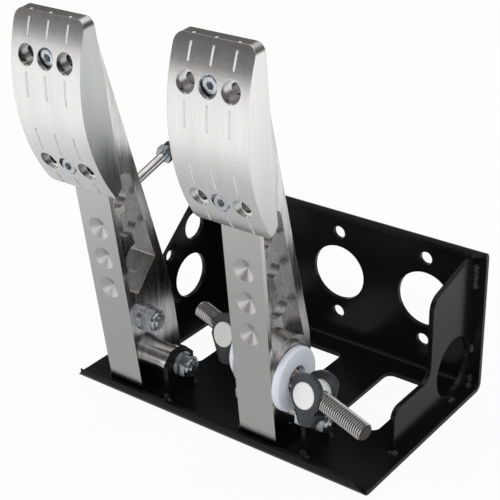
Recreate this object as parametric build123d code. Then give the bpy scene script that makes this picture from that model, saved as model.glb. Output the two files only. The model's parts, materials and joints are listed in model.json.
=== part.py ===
from build123d import *
from math import atan, cos, degrees, radians, sqrt, tan
import os

# Floor-mounted pedal box with a clutch pedal, a brake pedal and a balance bar.
# Millimetres. X runs to the right, Y to the back and Z up.
# The origin is on the underside of the base, straight below the pedal pivots.

# Folded sheet frame
sheet = 3.0
bend_radius = 2.5
base_width = 214.3
base_depth = 134.3
back_height = 96.1
lip_height = 8.65
lip_bevel = 6.5
flange_depth = 9.5
pivot_setback = 22.0
pivot_height = 23.8

# Openings in the base, each with its own centre and width
window_setback = 54.0
window_length = 61.7
window_radius = 5.0
window_spans = ((-66.1, 27.8), (0.0, 35.6), (66.5, 29.0))

# Flange mounts for three master cylinders
cylinder_pitch = 62.9
cylinder_middle_x = 3.7
cylinder_height = 51.7
cylinder_bore = 37.5
cylinder_bolt_hole = 8.5
cylinder_bolt_spacing = 57.15

# Side gussets
gusset_inset = 6.85
bend_relief = 1.0
gusset_arm_height = 28.3
gusset_arm_reach = 88.9
gusset_web_reach = 49.0
gusset_web_height = 80.0
gusset_corners = (9.0, 8.0, 7.0)
gusset_hole = 38.0
gusset_hole_setback = 22.3
gusset_hole_height = 23.6
brace_reach = 92.0
brace_toe_height = 10.1
brace_corner = 6.0
brace_holes = ((21.6, 63.5, 9.7), (27.3, 28.5, 15.5), (47.6, 51.3, 4.2))

# Weld beads at the feet of the tabs and along the gussets
bead_radius = 2.8
bead_heights = (15.0, 81.0)
bead_setbacks = (37.0, 67.0)

# Pedal pivots
pedal_width = 25.4
clutch_x = -68.0
brake_x = 33.1
clutch_lean = 7.15
brake_lean = 4.74
tab_gap_left = 2.6
tab_gap_right = 13.0
tab_width = 24.5
tab_rise = 9.7
tab_chamfer = 7.0
bolt_radius = 4.0
bolt_clearance = 0.1
sleeve_radius = 5.5
running_clearance = 0.03
thread_gap = 0.01
side_gap = 0.15
collar_radius = 12.7
brake_collar_radius = 10.8
collar_chamfer = 0.4
collar_length = 7.8
neck_radius = 6.0
bush_radius = 9.0
bush_depth = 11.0
washer_radius = 8.0
washer_thickness = 1.5
nut_flats = 13.0
nut_height = 6.5
nut_collar_height = 2.2
head_height = 5.3
bolt_end = 0.9
thread_chamfer = 1.0

# Pedal arms, measured from the pivot: depth to the back and height up the arm
arm_front = 19.85
arm_rear = 19.0
arm_height = 228.0
arm_foot = 17.8
heel_radius = 23.9
toe_radius = 20.4
taper_start = 43.0
taper_slope = 0.158
pocket_depth = 7.0
pocket_wall = 3.2
rib_width = 6.0
pocket_top = 132.0
pocket_low = 52.0
pocket_corner = 69.5
recess_extra = 3.0
recesses = ((17.4, 95.5, 8.2), (14.3, 114.0, 6.0))
large_recess = (20.9, 69.8, 9.6)
dimple_radius = 5.8
dimple_depth = 3.0
dimple_heights = (57.5, 78.0, 98.5)

# Pedal pads
pad_width = 50.0
pad_bottom = 129.0
pad_top = 234.0
pad_thickness = 19.5
pad_curve = 107.0
pad_curve_height = 182.0
pad_lip = 5.5
pad_corner = 4.5
pad_hole_spacing = 14.0
pad_hole_heights = (147.5, 212.0)
pad_bore = 5.8
pad_floor = 8.0
pad_screw_hole = 3.3
screw_radius = 2.5
screw_head_radius = 4.25
screw_head_height = 5.0
screw_socket = 2.0
screw_socket_depth = 2.5
screw_depth = 12.0
groove_width = 1.3
groove_depth = 0.9
groove_spans = ((129.0, 138.5), (156.0, 170.0), (189.3, 203.0), (221.5, 230.5))

# Clutch pushrod fixing and clutch stop
rod_depth = -6.35
rod_height = 32.9
rod_slot = 10.0
rod_slot_height = 24.0
rod_slot_start = 9.0
rod_slot_corner = 8.0
stop_height = 111.4
stop_radius = 2.8
stop_length = 33.0
stop_depth = 12.0
stop_cup = 4.0
stop_nut_flats = 10.0
stop_nut_height = 4.0
bumper_radius = 4.9
bumper_length = 7.0
bumper_round = 2.5

# Balance bar
bar_depth = -1.7
bar_height = 28.8
bar_turn = -11.2
bar_dip = 9.0
bar_radius = 5.5
bar_right = 74.7
bar_left = 62.8
boss_radius = 17.5
boss_bore = 11.5
boss_proud = 2.0
ball_radius = 9.0
ball_width = 11.0
race_width = 9.0
circlip_thickness = 1.2
disc_radius = 19.2
disc_thickness = 4.6
disc_gap = 0.3
disc_hole = 8.3
disc_drop = (0.5, -0.3)
barrel_radius = 7.8
barrel_half = 9.2
barrel_right = 34.4
barrel_left = 33.2
clevis_tilt = 18.0
clevis_half_width = 10.1
clevis_half_depth = 9.0
clevis_top = 12.5
clevis_bottom = 18.0
clevis_slot = 5.8
clevis_slot_depth = 9.2
clevis_cone_slope = 0.48
clevis_end_radius = 5.2
clevis_thread = 3.4

front_y = -pivot_setback
back_y = front_y + base_depth
tab_left = pedal_width / 2 + tab_gap_left
tab_right = pedal_width / 2 + tab_gap_right
cylinder_columns = [cylinder_middle_x + k * cylinder_pitch for k in (-1, 0, 1)]
gusset_face = base_width / 2 - gusset_inset
disc_end = pedal_width / 2 + boss_proud + side_gap + disc_thickness
clutch_seat = Pos(clutch_x, 0, pivot_height) * Rot(clutch_lean, 0, 0)
brake_seat = Pos(brake_x, 0, pivot_height) * Rot(brake_lean, 0, 0)


def side_plate(face, start, thickness):
    return extrude(Plane.YZ.offset(start) * face, thickness)


def bar_x(radius, start, length):
    return Pos(start + length / 2, 0, 0) * Rot(0, 90, 0) * Cylinder(radius, length)


def bar_y(radius, start, length):
    return Pos(0, start + length / 2, 0) * Rot(90, 0, 0) * Cylinder(radius, length)


def rounded(points, radii):
    return make_face(FilletPolyline(*points, radius=radii, close=True))


def group(*bodies):
    return Compound([solid for body in bodies for solid in body.solids()])


def base_sheet():
    middle = sheet / 2
    line = FilletPolyline(
        (front_y + middle, lip_height),
        (front_y + middle, middle),
        (back_y - middle, middle),
        (back_y - middle, back_height - middle),
        (back_y - flange_depth, back_height - middle),
        radius=bend_radius + middle,
    )
    body = side_plate(trace(line, sheet), -base_width / 2, base_width)
    half = base_width / 2
    flange_bevel = flange_depth - sheet
    for side in (-1, 1):
        lip_cut = make_face(Polyline(
            (side * half, lip_height - lip_bevel),
            (side * half, lip_height),
            (side * (half - lip_bevel), lip_height),
            close=True,
        ))
        body -= Pos(0, front_y, 0) * extrude(Plane.XZ * lip_cut, sheet, both=True)
        flange_cut = make_face(Polyline(
            (side * half, back_y - sheet),
            (side * half, back_y - flange_depth),
            (side * (half - flange_bevel), back_y - flange_depth),
            close=True,
        ))
        body -= Pos(0, 0, back_height) * extrude(flange_cut, sheet, both=True)
    for centre, width in window_spans:
        window = RectangleRounded(width, window_length, window_radius)
        middle_y = front_y + window_setback + window_length / 2
        body -= Pos(centre, middle_y, 0) * extrude(window, sheet, both=True)
    for column in cylinder_columns:
        body -= Pos(column, back_y, cylinder_height) * bar_y(cylinder_bore / 2, -sheet, 2 * sheet)
        for side in (-1, 1):
            height = cylinder_height + side * cylinder_bolt_spacing / 2
            body -= Pos(column, back_y, height) * bar_y(cylinder_bolt_hole / 2, -sheet, 2 * sheet)
    return body


def gusset_right():
    inner = back_y - sheet
    under = back_height - sheet
    relief = bend_radius + bend_relief
    web_y = inner - gusset_web_reach
    arm_y = inner - gusset_arm_reach
    arm_top = sheet + gusset_arm_height
    face = rounded(
        (
            (inner, sheet + relief),
            (inner, under - relief),
            (inner - relief, under),
            (back_y - flange_depth, under),
            (web_y, sheet + gusset_web_height),
            (web_y, arm_top),
            (arm_y, arm_top),
            (arm_y, sheet),
            (inner - relief, sheet),
        ),
        (0, 0, 0, 0, *gusset_corners, 0, 0),
    )
    body = side_plate(face, gusset_face - sheet, sheet)
    hole = Pos(gusset_face - 2 * sheet, inner - gusset_hole_setback, sheet + gusset_hole_height)
    return body - hole * bar_x(gusset_hole / 2, 0, 3 * sheet)


def gusset_left():
    inner = back_y - sheet
    under = back_height - sheet
    relief = bend_radius + bend_relief
    face = rounded(
        (
            (inner, sheet + relief),
            (inner, under - relief),
            (inner - relief, under),
            (back_y - flange_depth, under),
            (inner - brace_reach, sheet + brace_toe_height),
            (inner - brace_reach, sheet),
            (inner - relief, sheet),
        ),
        (0, 0, 0, 0, brace_corner, 0, 0),
    )
    body = side_plate(face, -gusset_face, sheet)
    for setback, height, radius in brace_holes:
        hole = Pos(-gusset_face - sheet, inner - setback, sheet + height)
        body -= hole * bar_x(radius, 0, 3 * sheet)
    return body


def pivot_tab(inner_x):
    half = tab_width / 2
    top = pivot_height + tab_rise
    face = make_face(Polyline(
        (-half, sheet),
        (-half, top - tab_chamfer),
        (tab_chamfer - half, top),
        (half - tab_chamfer, top),
        (half, top - tab_chamfer),
        (half, sheet),
        close=True,
    ))
    body = side_plate(face, inner_x, sheet)
    return body - Pos(0, 0, pivot_height) * bar_x(bolt_radius + bolt_clearance, inner_x - 1, sheet + 2)


def weld_beads(steel):
    beads = []
    for centre in (clutch_x, brake_x):
        for x in (centre - tab_left - sheet / 2, centre + tab_right + sheet / 2):
            for end in (-1, 1):
                beads.append(Pos(x, end * tab_width / 2, sheet) * Sphere(bead_radius))
    for side in (-1, 1):
        x = side * gusset_face
        for height in bead_heights:
            beads.append(Pos(x, back_y - sheet, sheet + height) * Sphere(bead_radius))
        for setback in bead_setbacks:
            beads.append(Pos(x, back_y - sheet - setback, sheet) * Sphere(bead_radius))
    return group(*[bead - steel for bead in beads])


def hex_prism(flats, height):
    body = extrude(RegularPolygon(flats / 2, 6, major_radius=False), height)
    turned = Cylinder(flats / sqrt(3), height, align=(Align.CENTER, Align.CENTER, Align.MIN))
    turned = chamfer(turned.edges().filter_by(GeomType.CIRCLE), 0.45 * (flats / sqrt(3) - flats / 2))
    return body & turned


def lock_nut(flats, height, collar, bore):
    body = hex_prism(flats, height)
    ring = Cylinder(flats * 0.44, collar, align=(Align.CENTER, Align.CENTER, Align.MIN))
    ring = fillet(ring.edges().group_by(Axis.Z)[-1], 0.7 * collar)
    body += Pos(0, 0, height) * ring
    return body - Cylinder(bore, 4 * (height + collar))


def along_x(body, start, side):
    return Pos(start, 0, 0) * Rot(0, 90 * side, 0) * body


def cross_bolt(left, right):
    start = -left - washer_thickness
    length = left + right + 2 * washer_thickness + nut_height + nut_collar_height + bolt_end
    shank = bar_x(bolt_radius, start, length)
    shank = chamfer(shank.edges().sort_by(Axis.X)[-1], thread_chamfer)
    head = along_x(hex_prism(nut_flats, head_height), start, -1)
    return shank + head


def cross_washers(left, right):
    ring = Cylinder(washer_radius, washer_thickness) - Cylinder(bolt_radius + bolt_clearance, 4)
    ring = Rot(0, 90, 0) * ring
    half = washer_thickness / 2
    return group(Pos(-left - half, 0, 0) * ring, Pos(right + half, 0, 0) * ring)


def cross_nut(right):
    nut = lock_nut(nut_flats, nut_height, nut_collar_height, bolt_radius + thread_gap)
    return along_x(nut, right + washer_thickness, 1)


def pivot_sleeve():
    length = tab_left + tab_right
    return bar_x(sleeve_radius, -tab_left, length) - bar_x(
        bolt_radius + bolt_clearance, -tab_left - 1, length + 2
    )


def collar(radius, start, end):
    ring = bar_x(radius, start, end - start)
    ring = chamfer(ring.edges().filter_by(GeomType.CIRCLE), collar_chamfer)
    return ring - bar_x(sleeve_radius + running_clearance, start - 1, end - start + 2)


def clutch_side_spacer():
    return collar(collar_radius, pedal_width / 2 + collar_length + side_gap, tab_right)


def brake_side_spacers():
    left = collar(brake_collar_radius, -tab_left, -pedal_width / 2 - side_gap)
    return group(left, collar(brake_collar_radius, disc_end + disc_gap, tab_right))


def brake_neck_spacer():
    # Slim, so that it passes under the disc beside the boss.
    start = pedal_width / 2 + side_gap
    length = disc_end + disc_gap - start
    return bar_x(neck_radius, start, length) - bar_x(sleeve_radius + running_clearance, start - 1, length + 2)


def pivot_bush():
    start = pedal_width / 2 - bush_depth
    return bar_x(bush_radius, start, bush_depth) - bar_x(sleeve_radius + running_clearance, start - 1, bush_depth + 2)


def clutch_pivot_bushes():
    side = pedal_width / 2
    right = pivot_bush() + collar(collar_radius, side, side + collar_length)
    left = mirror(pivot_bush(), Plane.YZ) + collar(collar_radius, side_gap - tab_left, -side)
    return group(left, right)


def brake_pivot_bushes():
    return group(pivot_bush(), mirror(pivot_bush(), Plane.YZ))


def rear_depth(height):
    return arm_rear - taper_slope * max(0.0, height - taper_start)


def arm_blank():
    heel_start = sqrt(heel_radius**2 - arm_front**2)
    heel_end = sqrt(heel_radius**2 - arm_foot**2)
    toe_start = sqrt(toe_radius**2 - arm_foot**2)
    toe_end = sqrt(toe_radius**2 - arm_rear**2)
    line = [
        Line((-arm_front, arm_height), (-arm_front, -heel_start)),
        RadiusArc((-arm_front, -heel_start), (-heel_end, -arm_foot), -heel_radius),
        Line((-heel_end, -arm_foot), (toe_start, -arm_foot)),
        RadiusArc((toe_start, -arm_foot), (arm_rear, -toe_end), -toe_radius),
        Line((arm_rear, -toe_end), (arm_rear, taper_start)),
        Line((arm_rear, taper_start), (rear_depth(arm_height), arm_height)),
        Line((rear_depth(arm_height), arm_height), (-arm_front, arm_height)),
    ]
    return side_plate(make_face(line), -pedal_width / 2, pedal_width)


def pocket_tool(face, depth):
    tool = side_plate(face, pedal_width / 2 - depth, depth + 1)
    return tool + mirror(tool, Plane.YZ)


def front_wall():
    return -arm_front + pocket_wall


def rib_depth(height):
    return rear_depth(height) - rib_width


def clutch_pocket():
    front = front_wall()
    corner = rib_depth(pocket_corner)
    face = rounded(
        (
            (front, pocket_top),
            (front, pocket_low + 6.5),
            (front + 6.5, pocket_low),
            (corner, pocket_corner - 1.0),
            (rib_depth(pocket_top), pocket_top),
        ),
        (5, 1.5, 1.5, 2.5, 5),
    )
    return pocket_tool(face, pocket_depth)


def brake_pocket():
    front = front_wall()
    low = bar_height + 3.0
    face = rounded(
        (
            (front, pocket_top),
            (front, low),
            (bar_depth, low),
            (rib_depth(low) + 2.5, low),
            (rib_depth(57.0), 57.0),
            (rib_depth(pocket_top), pocket_top),
        ),
        (5, 4, 0, 4, 20, 5),
    )
    clear = Circle(boss_radius + 3.0)
    return pocket_tool(face - Pos(bar_depth, bar_height) * clear, pocket_depth)


def arm_recesses(sizes):
    tool = Part()
    depth = pocket_depth + recess_extra
    for setback, height, radius in sizes:
        tool += pocket_tool(Pos(setback - arm_front, height) * Circle(radius), depth)
    return tool


def arm_dimples():
    tool = Part()
    for height in dimple_heights:
        cone = Cone(0.3, dimple_radius, dimple_depth)
        tool += Pos(0, -arm_front + dimple_depth / 2, height) * Rot(90, 0, 0) * cone
    return tool


def screw_bores():
    tool = Part()
    for height in pad_hole_heights:
        tool += Pos(0, 0, height) * bar_y(screw_radius + thread_gap, -arm_front - 1, screw_depth + 1)
    return tool


def plain_arm():
    body = arm_blank() - arm_dimples() - screw_bores()
    body -= bar_x(bush_radius, -pedal_width, 2 * pedal_width)
    return body


def stop_axis():
    rise = degrees(atan(taper_slope))
    return Pos(0, rear_depth(stop_height), stop_height) * Rot(rise - 90, 0, 0)


def clutch_arm():
    body = plain_arm() - clutch_pocket() - arm_recesses(recesses + (large_recess,))
    body -= Pos(0, rod_depth, rod_height) * bar_x(bolt_radius + thread_gap, -pedal_width, 2 * pedal_width)
    length = 2 * (arm_front + arm_rear)
    slot = Box(rod_slot, length, rod_slot_height, align=(Align.CENTER, Align.MIN, Align.CENTER))
    slot = fillet(slot.edges().filter_by(Axis.X).group_by(Axis.Y)[0], rod_slot_corner)
    body -= Pos(0, rod_depth - rod_slot_start, rod_height) * slot
    body -= stop_axis() * Pos(0, 0, -stop_depth) * Cylinder(
        stop_radius + thread_gap, 2 * stop_depth, align=(Align.CENTER, Align.CENTER, Align.MIN)
    )
    return body


def brake_arm():
    body = plain_arm() - brake_pocket() - arm_recesses(recesses + (large_recess,))
    boss = Pos(0, bar_depth, bar_height)
    half = pedal_width / 2 + boss_proud
    body += boss * bar_x(boss_radius, -half, 2 * half)
    body -= boss * bar_x(boss_bore, -half - 1, 2 * half + 2)
    return body


def pedal_pad():
    centre = pad_curve - pad_thickness
    rise = pad_top - pad_curve_height
    drop = pad_curve_height - pad_bottom
    top_depth = centre - sqrt(pad_curve**2 - rise**2)
    low_depth = centre - sqrt(pad_curve**2 - drop**2)
    line = [
        Line((0, pad_top), (top_depth, pad_top)),
        ThreePointArc((top_depth, pad_top), (-pad_thickness, pad_curve_height), (low_depth, pad_bottom)),
        Line((low_depth, pad_bottom), (0, pad_bottom + pad_lip)),
        Line((0, pad_bottom + pad_lip), (0, pad_top)),
    ]
    body = extrude(Plane.YZ * make_face(line), pad_width / 2, both=True)
    tall = Rectangle(pad_width, pad_top - pad_bottom)
    tall = fillet(tall.vertices().group_by(Axis.Y)[-1], pad_corner)
    tall = fillet(tall.vertices().group_by(Axis.Y)[0], 2.5)
    tall = Pos(0, (pad_top + pad_bottom) / 2) * tall
    body &= extrude(Plane.XZ * tall, 2 * pad_thickness)
    for height in pad_hole_heights:
        for column in (-1, 0, 1):
            hole = Pos(column * pad_hole_spacing, 0, height)
            body -= hole * bar_y(pad_bore, -2 * pad_thickness, 2 * pad_thickness - pad_floor)
            body -= hole * bar_y(pad_screw_hole, -2 * pad_thickness, 2 * pad_thickness + 1)
    for low, high in groove_spans:
        for column in (-1, 0, 1):
            body -= Pos(column * pad_hole_spacing, 0, 0) * pad_groove(low, high)
    return Pos(0, -arm_front, 0) * body


def pad_groove(low, high):
    centre = pad_curve - pad_thickness
    ring = Pos(centre, pad_curve_height) * (Circle(pad_curve + 1) - Circle(pad_curve - groove_depth))
    span = Pos(-pad_thickness, (low + high) / 2) * Rectangle(4 * pad_thickness, high - low)
    return extrude(Plane.YZ * (ring & span), groove_width / 2, both=True)


def pad_screws():
    screws = []
    for height in pad_hole_heights:
        head = bar_y(screw_head_radius, -arm_front - pad_floor - screw_head_height, screw_head_height)
        head = chamfer(head.edges().sort_by(Axis.Y)[0], 0.5)
        shank = bar_y(screw_radius, -arm_front - pad_floor, pad_floor + screw_depth - 1.0)
        socket = extrude(RegularPolygon(screw_socket, 6, major_radius=False), screw_socket_depth)
        socket = Pos(0, -arm_front - pad_floor - screw_head_height, 0) * Rot(-90, 0, 0) * socket
        screws.append(Pos(0, 0, height) * (head + shank - socket))
    return group(*screws)


def rod_bolt():
    return Pos(0, rod_depth, rod_height) * cross_bolt(pedal_width / 2, pedal_width / 2)


def rod_washers():
    return Pos(0, rod_depth, rod_height) * cross_washers(pedal_width / 2, pedal_width / 2)


def rod_nut():
    return Pos(0, rod_depth, rod_height) * cross_nut(pedal_width / 2)


def stop_stud():
    stud = Cylinder(stop_radius, stop_depth + stop_length, align=(Align.CENTER, Align.CENTER, Align.MIN))
    return stop_axis() * Pos(0, 0, -stop_depth) * stud


def stop_nut():
    nut = hex_prism(stop_nut_flats, stop_nut_height) - Cylinder(stop_radius + thread_gap, 20)
    return stop_axis() * Pos(0, 0, stop_length - stop_nut_height - stop_cup) * nut


def stop_bumper():
    body = Cylinder(bumper_radius, bumper_length, align=(Align.CENTER, Align.CENTER, Align.MIN))
    body = fillet(body.edges().group_by(Axis.Z)[-1], bumper_round)
    body -= Cylinder(stop_radius + thread_gap, 2 * stop_cup)
    return stop_axis() * Pos(0, 0, stop_length - stop_cup) * body


# The balance bar runs across the brake pedal, turned and dipped to one side.
bar_seat = brake_seat * Pos(0, bar_depth, bar_height)
bar_centre = bar_seat.position
bar_frame = Pos(*bar_centre) * Rot(0, 0, bar_turn) * Rot(0, bar_dip, 0)


def bar_point(distance):
    return (bar_frame * Pos(distance, 0, 0)).position


def balance_rod():
    rod = bar_x(bar_radius, -bar_left, bar_left + bar_right)
    rod = chamfer(rod.edges().filter_by(GeomType.CIRCLE), thread_chamfer)
    return bar_frame * rod


def bearing_ball():
    ball = Sphere(ball_radius) & Box(ball_width, 40, 40)
    return bar_frame * (ball - bar_x(bar_radius, -20, 40))


def bearing_race():
    ring = bar_x(boss_bore, -race_width / 2, race_width) - Sphere(ball_radius + running_clearance)
    return bar_seat * ring


def bearing_circlips():
    ring = bar_x(boss_bore, 0, circlip_thickness) - bar_x(boss_bore - 1.6, -1, circlip_thickness + 2)
    left = Pos(-race_width / 2 - circlip_thickness, 0, 0) * ring
    return bar_seat * group(left, Pos(race_width / 2, 0, 0) * ring)


def nylon_disc(side):
    start = disc_end - disc_thickness if side > 0 else -disc_end
    middle = start + disc_thickness / 2
    disc = bar_x(disc_radius, start, disc_thickness)
    disc = fillet(disc.edges().filter_by(GeomType.CIRCLE), 1.6)
    disc -= bar_x(disc_hole, start - 1, disc_thickness + 2)
    drift = (middle * tan(radians(bar_turn)), -middle * tan(radians(bar_dip)) / cos(radians(bar_turn)))
    return Pos(*bar_centre) * Pos(0, drift[0] + disc_drop[0], drift[1] + disc_drop[1]) * disc


def barrel_seat(distance):
    return bar_frame * Pos(distance, 0, 0) * Rot(-clevis_tilt, 0, 0)


def barrel(distance):
    body = bar_y(barrel_radius, -barrel_half, 2 * barrel_half)
    body = chamfer(body.edges().filter_by(GeomType.CIRCLE), 0.5)
    body -= bar_x(bar_radius + thread_gap, -2 * barrel_radius, 4 * barrel_radius)
    return barrel_seat(distance) * body


def clevis(distance):
    height = clevis_top + clevis_bottom
    middle = (clevis_top - clevis_bottom) / 2
    block = Pos(0, 0, middle) * Box(2 * clevis_half_width, 2 * clevis_half_depth, height)
    block = fillet(block.edges().filter_by(Axis.Z), 2.0)
    top = Rot(90, 0, 0) * Cylinder(clevis_top, 60)
    low = Pos(0, 0, -50) * Box(60, 60, 100)
    block &= top + low
    cone_height = 2 * clevis_bottom
    cone_top = clevis_end_radius + clevis_cone_slope * cone_height
    cone = Cone(clevis_end_radius, cone_top, cone_height, align=(Align.CENTER, Align.CENTER, Align.MIN))
    block &= Pos(0, 0, -clevis_bottom) * cone
    block -= Pos(0, 0, 50 - clevis_slot_depth) * Box(60, 2 * clevis_slot, 100)
    block -= bar_y(barrel_radius + running_clearance, -40, 80)
    block -= Cylinder(clevis_thread, 80)
    return barrel_seat(distance) * Rot(0, -bar_dip, 0) * block


def main():
    os.makedirs("parts", exist_ok=True)
    nodes = {
        "base_sheet": base_sheet(),
        "gusset_right": gusset_right(),
        "gusset_left": gusset_left(),
        "clutch_tab_left": pivot_tab(clutch_x - tab_left - sheet),
        "clutch_tab_right": pivot_tab(clutch_x + tab_right),
        "brake_tab_left": pivot_tab(brake_x - tab_left - sheet),
        "brake_tab_right": pivot_tab(brake_x + tab_right),
    }
    steel = [nodes[name] for name in nodes]
    nodes["weld_beads"] = weld_beads(steel)
    stack = (tab_left + sheet, tab_right + sheet)
    for name, centre, seat in (("clutch", clutch_x, clutch_seat), ("brake", brake_x, brake_seat)):
        level = Pos(centre, 0, pivot_height)
        nodes[name + "_pivot_bolt"] = level * cross_bolt(*stack)
        nodes[name + "_pivot_washers"] = level * cross_washers(*stack)
        nodes[name + "_pivot_nut"] = level * cross_nut(stack[1])
        nodes[name + "_pivot_sleeve"] = level * pivot_sleeve()
        nodes[name + "_pad"] = seat * pedal_pad()
        nodes[name + "_pad_screws"] = seat * pad_screws()
    nodes["clutch_side_spacer"] = Pos(clutch_x, 0, pivot_height) * clutch_side_spacer()
    nodes["brake_side_spacers"] = Pos(brake_x, 0, pivot_height) * brake_side_spacers()
    nodes["brake_neck_spacer"] = Pos(brake_x, 0, pivot_height) * brake_neck_spacer()
    nodes["clutch_pivot_bushes"] = clutch_seat * clutch_pivot_bushes()
    nodes["brake_pivot_bushes"] = brake_seat * brake_pivot_bushes()
    nodes["clutch_arm"] = clutch_seat * clutch_arm()
    nodes["brake_arm"] = brake_seat * brake_arm()
    nodes["clutch_rod_bolt"] = clutch_seat * rod_bolt()
    nodes["clutch_rod_washers"] = clutch_seat * rod_washers()
    nodes["clutch_rod_nut"] = clutch_seat * rod_nut()
    nodes["clutch_stop_stud"] = clutch_seat * stop_stud()
    nodes["clutch_stop_nut"] = clutch_seat * stop_nut()
    nodes["clutch_stop_bumper"] = clutch_seat * stop_bumper()
    nodes["balance_rod"] = balance_rod()
    nodes["bearing_ball"] = bearing_ball()
    nodes["bearing_race"] = bearing_race()
    nodes["bearing_circlips"] = bearing_circlips()
    for name, side, distance in (("left", -1, -barrel_left), ("right", 1, barrel_right)):
        nodes["nylon_disc_" + name] = nylon_disc(side)
        nodes["barrel_nut_" + name] = barrel(distance)
        nodes["clevis_" + name] = clevis(distance)
    for name, body in nodes.items():
        export_step(body, f"parts/{name}.step")
    print("balance bar centre", bar_centre)
    print("balance bar direction", bar_point(1) - bar_centre)
    print("barrel centres", bar_point(-barrel_left), bar_point(barrel_right))
    print("barrel axis", (barrel_seat(0) * Pos(0, -1, 0)).position - bar_centre)


main()
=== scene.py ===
import bmesh
import bpy
import json
from math import atan, atan2, copysign, cos, pi, radians, sin, sqrt, tan
from mathutils import Matrix, Vector


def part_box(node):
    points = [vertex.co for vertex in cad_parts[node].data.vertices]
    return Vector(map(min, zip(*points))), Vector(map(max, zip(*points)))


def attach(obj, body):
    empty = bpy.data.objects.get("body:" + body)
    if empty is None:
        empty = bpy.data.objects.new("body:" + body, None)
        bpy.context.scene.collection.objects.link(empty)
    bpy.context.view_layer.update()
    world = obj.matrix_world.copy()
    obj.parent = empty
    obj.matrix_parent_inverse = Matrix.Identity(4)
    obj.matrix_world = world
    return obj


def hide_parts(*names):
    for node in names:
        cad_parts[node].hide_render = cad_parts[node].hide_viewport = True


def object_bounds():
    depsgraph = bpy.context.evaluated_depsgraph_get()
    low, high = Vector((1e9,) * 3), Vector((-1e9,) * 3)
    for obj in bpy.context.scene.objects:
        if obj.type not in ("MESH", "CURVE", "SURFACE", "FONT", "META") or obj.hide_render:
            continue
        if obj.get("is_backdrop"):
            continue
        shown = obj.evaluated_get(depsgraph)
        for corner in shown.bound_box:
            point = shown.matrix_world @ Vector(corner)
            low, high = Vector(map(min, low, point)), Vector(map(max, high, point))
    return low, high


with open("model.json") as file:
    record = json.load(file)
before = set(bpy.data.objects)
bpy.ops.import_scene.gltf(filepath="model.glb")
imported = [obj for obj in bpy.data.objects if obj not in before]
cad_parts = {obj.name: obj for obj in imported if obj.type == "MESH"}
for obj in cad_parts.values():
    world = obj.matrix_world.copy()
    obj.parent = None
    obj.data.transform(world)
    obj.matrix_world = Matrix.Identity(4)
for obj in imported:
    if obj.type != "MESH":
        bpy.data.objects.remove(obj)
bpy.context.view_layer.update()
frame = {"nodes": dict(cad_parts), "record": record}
nodes = frame["nodes"]


# Shader sums: one wrapped socket, so that 1 - mask adds the Math node it needs
class Wire:
    def __init__(self, tree, socket=None):
        self.tree = tree
        self.socket = socket

    def node(self, kind, settings=None, values=None, out=0):
        made = self.tree.nodes.new(kind)
        for name, value in (settings or {}).items():
            if name == "stops":
                fillRamp(made.color_ramp, value)
            else:
                setattr(made, name, value)
        for name, value in (values or {}).items():
            if isinstance(value, Wire):
                self.tree.links.new(value.socket, made.inputs[name])
            else:
                made.inputs[name].default_value = value
        return Wire(self.tree, made.outputs[out] if made.outputs else None)

    def sums(self, operation, first, second):
        return self.node("ShaderNodeMath", {"operation": operation}, {0: first, 1: second})

    def __add__(self, other):
        return self.sums("ADD", self, other)

    __radd__ = __add__

    def __sub__(self, other):
        return self.sums("SUBTRACT", self, other)

    def __rsub__(self, other):
        return self.sums("SUBTRACT", other, self)

    def __mul__(self, other):
        return self.sums("MULTIPLY", self, other)

    __rmul__ = __mul__

    def __truediv__(self, other):
        return self.sums("DIVIDE", self, other)

    def __pow__(self, other):
        return self.sums("POWER", self, other)

    def rise(self, start, end):  # 0 below start, 1 above end, smooth between
        return self.node("ShaderNodeMapRange", {"interpolation_type": "SMOOTHSTEP"},
                         {"Value": self, "From Min": start, "From Max": end})

    def mix(self, first, second):  # self is the factor between two colours
        return self.node("ShaderNodeMix", {"data_type": "RGBA"}, {0: self, 6: first, 7: second}, 2)


def fillRamp(ramp, stops):
    while len(ramp.elements) > 1:
        ramp.elements.remove(ramp.elements[-1])
    for order, (position, shade) in enumerate(stops):
        stop = ramp.elements[0] if order == 0 else ramp.elements.new(position)
        stop.position = position
        stop.color = (*shade, 1) if isinstance(shade, tuple) else (shade, shade, shade, 1)


def place(start):
    return start.node("ShaderNodeTexCoord", out="Object")


def grey(value, warm=0.0):
    return (value * (1 + warm), value, value * (1 - warm), 1)


# Camera at the photograph's place
camera = {
    "place": (0.4087, -0.5120, 0.44615),
    "azimuth": 37.53,
    "elevation": 26.85,
    "roll": -1.36,
    "lens": 93.85,
    "shift": (0.00222, -0.0070),
}


def makeCamera(c):
    a, e, r = radians(c["azimuth"]), radians(c["elevation"]), radians(c["roll"])
    ahead = Vector((-sin(a) * cos(e), cos(a) * cos(e), -sin(e)))
    right = Vector((cos(a), sin(a), 0))
    down = -right.cross(ahead)
    across = cos(r) * right - sin(r) * down
    below = sin(r) * right + cos(r) * down
    turn = Matrix((across, -below, -ahead)).transposed()
    data = bpy.data.cameras.new("camera")
    data.sensor_width = 36
    data.lens = c["lens"]
    data.shift_x, data.shift_y = c["shift"]
    data.clip_start = 0.01
    eye = bpy.data.objects.new("camera", data)
    eye.matrix_world = Matrix.Translation(c["place"]) @ turn.to_4x4()
    bpy.context.collection.objects.link(eye)
    bpy.context.scene.camera = eye


bpy.context.scene.view_settings.view_transform = "Standard"
makeCamera(camera)
print("camera set")

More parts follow.
